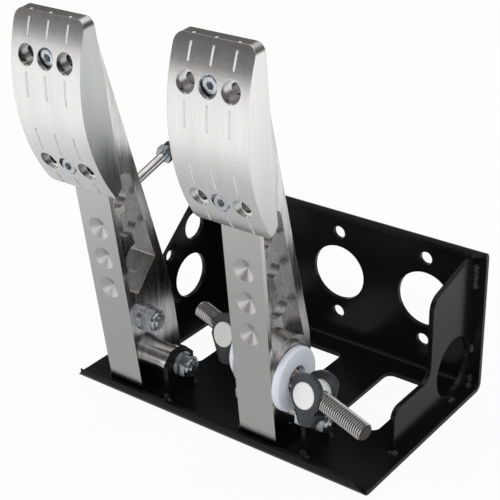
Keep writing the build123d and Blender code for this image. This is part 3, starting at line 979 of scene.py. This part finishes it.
def makeBrakeArm(c):
    turn = pedalTurn("brake")
    depth, height, radius, bore, half = c["boss"]
    ring = circleLoop(depth, height, radius + c["bossRing"])
    steps = armSteps(c, turn, brakePocket(c), ring)
    steps.append(("UNION", plateMesh(circleLoop(depth, height, radius, 72), -half, half, turn)))
    steps.append(("DIFFERENCE", plateMesh(circleLoop(depth, height, bore), -2 * half, 2 * half, turn)))
    mesh = machined(plateMesh(armLoop(c), -armHalf, armHalf, turn), steps)
    return newPiece("brake_arm_cut", mesh, "arm_metal", "brake_pedal", ["brake_arm"])


makeClutchArm(armCuts)
makeBrakeArm(armCuts)
print("arms cut")

# Pads: an arched block with rounded corners, counterbores and short grooves
padShape = {
    "half": 0.025,
    "bottom": 0.129,
    "top": 0.234,
    "thick": 0.0195,
    "curve": 0.107,
    "middle": 0.182,
    "lip": 0.0055,
    "corners": (0.0055, 0.0025),
    "columns": (-0.014, 0.0, 0.014),
    "heights": (0.1475, 0.212),
    "floor": 0.0104,
    "bore": 0.0058,
    "hole": 0.0033,
    "shut": 0.0010,
    "through": 0.0010,
    "groove": (0.00065, 0.0009),
    "spans": ((0.129, 0.1385), (0.156, 0.170), (0.1893, 0.203), (0.2215, 0.2305)),
}


def faceDepth(c, height, lift=0.0):
    return c["curve"] - c["thick"] - sqrt((c["curve"] + lift) ** 2 - (height - c["middle"]) ** 2)


def curveLoop(c, low, high, lift, steps):
    heights = [low + (high - low) * k / steps for k in range(steps + 1)]
    return [(faceDepth(c, height, lift), height) for height in heights]


def makePad(c, name):
    turn = pedalTurn(name) @ Matrix.Translation((0, -armFront, 0))
    quarter = Matrix.Rotation(radians(90), 4, "Z")
    half, low, high = c["half"], c["bottom"], c["top"]
    side = curveLoop(c, low, high, 0.0, 40) + [(0, high), (0, low + c["lip"])]
    big, small = c["corners"]
    front = roundedLoop(((-half, low), (half, low), (half, high), (-half, high)), (small, small, big, big), 8)
    steps = [("INTERSECT", plateMesh(front, -2 * c["thick"], c["thick"], turn @ quarter))]
    for height in c["heights"]:
        for column in c["columns"]:
            spot = turn @ Matrix.Translation((column, 0, height)) @ quarter
            end = c["through"] if column == 0 else -c["shut"]
            mouth = -2 * c["thick"]
            wide, narrow, level = c["bore"], c["hole"], -c["floor"]
            bore = ((mouth, 0), (mouth, wide), (level, wide), (level, narrow), (end, narrow), (end, 0))
            steps.append(("DIFFERENCE", turnedMesh(bore, spot)))
    wide, deep = c["groove"]
    for bottom, top in c["spans"]:
        for column in c["columns"]:
            band = curveLoop(c, bottom, top, -deep, 6) + curveLoop(c, bottom, top, c["through"], 6)[::-1]
            steps.append(("DIFFERENCE", plateMesh(band, column - wide, column + wide, turn)))
    mesh = machined(plateMesh(side, -half - 0.001, half + 0.001, turn), steps)
    return newPiece(name + "_pad_bored", mesh, "pad_metal", name + "_pedal", [name + "_pad"])


for pedal in pedals:
    makePad(padShape, pedal)
print("pads bored")


# Socket-head screws, one at each point of the base mesh
def screwTree():
    group, start = newTree("socket screw", [
        ("Radius", "NodeSocketFloat", 0.005),
        ("Height", "NodeSocketFloat", 0.004),
        ("Socket", "NodeSocketFloat", 0.002),
        ("Socket Depth", "NodeSocketFloat", 0.002),
        ("Chamfer", "NodeSocketFloat", 0.0005),
        ("Material", "NodeSocketMaterial", None),
    ])
    given = group.nodes.new("NodeGroupInput")
    value = {item.name: Wire(group, item) for item in given.outputs if item.name}
    body = value["Height"] - value["Chamfer"]
    sides, hexagon = 40, 1.1547
    shank = start.node("GeometryNodeMeshCylinder", values={
        "Vertices": sides, "Radius": value["Radius"], "Depth": body,
    })
    shank = moved(start, shank, body * 0.5)
    crown = start.node("GeometryNodeMeshCone", values={
        "Vertices": sides,
        "Radius Bottom": value["Radius"],
        "Radius Top": value["Radius"] - value["Chamfer"],
        "Depth": value["Chamfer"],
    })
    crown = moved(start, crown, body)
    socket = start.node("GeometryNodeMeshCylinder", values={
        "Vertices": 6, "Radius": value["Socket"] * hexagon, "Depth": value["Socket Depth"] * 2,
    })
    socket = moved(start, socket, value["Height"])
    head = start.node("GeometryNodeMeshBoolean", {"operation": "UNION", "solver": "EXACT"})
    for block in (shank, crown):
        group.links.new(block.socket, head.socket.node.inputs["Mesh 2"])
    cut = {"operation": "DIFFERENCE", "solver": "EXACT"}
    bored = start.node("GeometryNodeMeshBoolean", cut, {"Mesh 1": head})
    group.links.new(socket.socket, bored.socket.node.inputs["Mesh 2"])
    many = start.node("GeometryNodeInstanceOnPoints", values={
        "Points": value["Geometry"], "Instance": bored, "Rotation": (pi / 2, 0, 0),
    })
    finishTree(group, start, many, value["Material"])
    return group


def moved(start, shape, along):
    spot = start.node("ShaderNodeCombineXYZ", values={2: along})
    return start.node("GeometryNodeTransform", values={"Geometry": shape, "Translation": spot})


padScrew = {"radius": 0.0049, "height": 0.0032, "socket": 0.0021, "depth": 0.0022, "chamfer": 0.0005}


def makePadScrews(c, name, group):
    base = bpy.data.meshes.new("screw_places")
    back = -armFront - padShape["floor"]
    base.from_pydata([(0, back, height) for height in padShape["heights"]], [], [])
    inputs = {"Radius": c["radius"], "Height": c["height"], "Socket": c["socket"], "Socket Depth": c["depth"],
              "Chamfer": c["chamfer"], "Material": finishes["zinc"]}
    return evaluated(name + "_socket_screws", base, group, inputs, pedalTurn(name), finishes["zinc"],
                     name + "_pedal", [name + "_pad_screws"])


screws = screwTree()
for pedal in pedals:
    makePadScrews(padScrew, pedal, screws)
print("screws set")

# Left brace: sloping edge clear of its holes
brace = {
    "outer": -0.1003,
    "thick": 0.003,
    "inner": 0.1093,
    "under": 0.0931,
    "relief": 0.0035,
    "step": (0.1011, 0.0931),
    "toe": (0.0173, 0.0225),
    "foot": 0.003,
    "corner": 0.006,
    "holes": ((0.0216, 0.0631, 0.0095), (0.0273, 0.0282, 0.0155), (0.0476, 0.0513, 0.0040)),
}


def makeBrace(c):
    inner, under, relief, foot = c["inner"], c["under"], c["relief"], c["foot"]
    points = (
        (inner, foot + relief), (inner, under - relief), (inner - relief, under),
        c["step"], c["toe"], (c["toe"][0], foot), (inner - relief, foot),
    )
    loop = roundedLoop(points, (0, 0, 0, 0, c["corner"], 0, 0))
    outer = c["outer"]
    steps = []
    for setback, height, radius in c["holes"]:
        hole = circleLoop(inner - setback, foot + height, radius)
        steps.append(("DIFFERENCE", plateMesh(hole, outer - c["thick"], outer + 2 * c["thick"])))
    mesh = machined(plateMesh(loop, outer, outer + c["thick"]), steps)
    return newPiece("left_brace", mesh, "black_frame", "frame", ["gusset_left"])


makeBrace(brace)

# Turned pieces on the clutch pivot, slimmer than the nodes
clutchStack = {"collar": 0.0094, "bush": 0.0090, "bore": 0.0056, "edge": 0.0003, "seat": 0.011}


def ringProfile(low, high, inner, outer, edge):
    first = ((low, inner), (low, outer - edge), (low + edge, outer))
    return first + ((high - edge, outer), (high, outer - edge), (high, inner))


def makeStack(c):
    turn = Matrix.Translation((0, 0, pivotHeight))
    middle = pedals["clutch"]["across"]
    low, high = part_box("clutch_side_spacer")
    spacer = turnedMesh(ringProfile(low[0], high[0], c["bore"], c["collar"], c["edge"]), turn)
    newPiece("clutch_spacer_turned", spacer, "polished", "frame", ["clutch_side_spacer"])
    low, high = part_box("clutch_pivot_bushes")
    spans = ((middle + armHalf - c["seat"], high[0]), (low[0], middle - armHalf + c["seat"]))
    bushes = [turnedMesh(ringProfile(*span, c["bore"], c["bush"], c["edge"]), turn) for span in spans]
    slot = slots["clutch_pivot_bushes"]
    newPiece("clutch_bushes_turned", joined(bushes), slot, "clutch_pedal", ["clutch_pivot_bushes"])


def joined(meshes):
    work = bmesh.new()
    for mesh in meshes:
        work.from_mesh(mesh)
    together = bpy.data.meshes.new("together")
    work.to_mesh(together)
    work.free()
    return together


makeStack(clutchStack)

# Clutch stop: stud, nut and bumper along one sloping axis
clutchStop = {
    "height": 0.1114,
    "radius": 0.0029,
    "length": 0.0420,
    "depth": 0.006,
    "flats": 0.0100,
    "nut": 0.0042,
    "nutBore": 0.9,
    "cup": 0.004,
    "bumper": 0.0048,
    "bumperLength": 0.0065,
    "bumperRound": (0.002, 0.0006),
    "root": 0.0034,
    "rootLength": 0.0016,
}


def makeStop(c):
    rear = rearDepth(armCuts, c["height"])
    aim = Matrix.Rotation(atan(armCuts["taper"]), 4, "X") @ Matrix.Rotation(radians(90), 4, "Z")
    turn = pedalTurn("clutch") @ Matrix.Translation((0, rear, c["height"])) @ aim
    end, radius, root = c["length"], c["radius"], c["root"]
    hidden = ((-c["depth"], 0), (-c["depth"], radius), (0.0, radius))
    collar = ((0.0, root), (c["rootLength"], root), (c["rootLength"], radius))
    stud = turnedMesh(hidden + collar + ((end, radius), (end, 0)), turn)
    newPiece("clutch_stop_rod", stud, "polished", "clutch_pedal", ["clutch_stop_stud"])
    high = end - c["cup"]
    low = high - c["nut"]
    wide, bore = c["flats"] / 2 / cos(radians(30)), radius * c["nutBore"]
    nut = turnedMesh(((low, bore), (low, wide), (high, wide), (high, bore)), turn, 6)
    newPiece("clutch_stop_hex", nut, "zinc", "clutch_pedal", ["clutch_stop_nut"])
    tip, outer = high + c["bumperLength"], c["bumper"]
    big, small = c["bumperRound"]
    dome = ((tip - big, outer), (tip - small, outer - small), (tip, outer - big), (tip, 0))
    cap = turnedMesh(((high, 0), (high, outer)) + dome, turn)
    newPiece("clutch_stop_cap", cap, "stop_rubber", "clutch_pedal", ["clutch_stop_bumper"])


makeStop(clutchStop)
print("stop and brace made")


# Welds: rows of overlapping drops with a rough skin
def weldTree():
    group, start = newTree("weld", [
        ("Drop", "NodeSocketFloat", 0.0016),
        ("Rough", "NodeSocketFloat", 0.0007),
        ("Seed", "NodeSocketInt", 7),
        ("Material", "NodeSocketMaterial", None),
    ])
    given = group.nodes.new("NodeGroupInput")
    value = {item.name: Wire(group, item) for item in given.outputs if item.name}
    ball = start.node("GeometryNodeMeshIcoSphere", values={"Radius": value["Drop"], "Subdivisions": 4})
    least, most = 0.75, 1.2
    drawn = {2: least, 3: most, 8: value["Seed"]}
    size = start.node("FunctionNodeRandomValue", {"data_type": "FLOAT"}, drawn, 1)
    many = start.node("GeometryNodeInstanceOnPoints", values={
        "Points": value["Geometry"], "Instance": ball, "Scale": size,
    })
    real = start.node("GeometryNodeRealizeInstances", values={"Geometry": many})
    spot = start.node("GeometryNodeInputPosition")
    lumps = start.node("ShaderNodeTexNoise", values={"Vector": spot, "Scale": 900.0, "Detail": 2.0})
    outward = start.node("GeometryNodeInputNormal")
    far = (lumps - 0.5) * value["Rough"] * 2
    push = outward.node("ShaderNodeVectorMath", {"operation": "SCALE"}, {0: outward, 3: far})
    rough = start.node("GeometryNodeSetPosition", values={"Geometry": real, "Offset": push})
    finishTree(group, start, rough, value["Material"])
    return group


welds = {
    "drop": 0.0019,
    "rough": 0.0007,
    "seed": 7,
    "step": 0.0015,
    "runs": [
        ((0.1006, 0.1090, 0.072), (0.1006, 0.1090, 0.085)),
        ((0.1006, 0.1090, 0.0275), (0.1006, 0.1090, 0.0300)),
        ((0.1006, 0.1085, 0.0050), (0.1006, 0.1085, 0.0085)),
        ((0.1012, 0.1065, 0.0034), (0.1012, 0.1100, 0.0034)),
        ((0.1008, 0.0845, 0.0032), (0.1008, 0.0870, 0.0032)),
        ((0.0990, 0.0192, 0.0032), (0.1010, 0.0200, 0.0032)),
        ((-0.1006, 0.1090, 0.072), (-0.1006, 0.1090, 0.085)),
        ((-0.1006, 0.1085, 0.0050), (-0.1006, 0.1085, 0.0085)),
        ((-0.1008, 0.0845, 0.0032), (-0.1008, 0.0870, 0.0032)),
        ((-0.1008, 0.0450, 0.0032), (-0.1008, 0.0475, 0.0032)),
    ],
    "feet": (-0.0848, -0.0408, 0.0163, 0.0603),
    "footReach": (-0.0128, 0.0128),
}


def makeWelds(c, group):
    runs = list(c["runs"])
    for x in c["feet"]:
        for y in c["footReach"]:
            runs.append(((x - 0.0012, y, 0.0032), (x + 0.0022, y, 0.0034)))  # along the plate
            runs.append(((x, y, 0.0035), (x, y, 0.0062)))  # up the tab
    spots = []
    for first, last in runs:
        a, b = Vector(first), Vector(last)
        count = max(1, round((b - a).length / c["step"]))
        spots += [tuple(a.lerp(b, k / count)) for k in range(count + 1)]
    base = bpy.data.meshes.new("weld_places")
    base.from_pydata(spots, [], [])
    inputs = {"Drop": c["drop"], "Rough": c["rough"], "Seed": c["seed"], "Material": finishes["weld"]}
    piece = evaluated("weld_runs", base, group, inputs, Matrix.Identity(4), finishes["weld"],
                      "frame", ["weld_beads"])
    piece.data.shade_smooth()
    return piece


makeWelds(welds, weldTree())
print("welds laid")
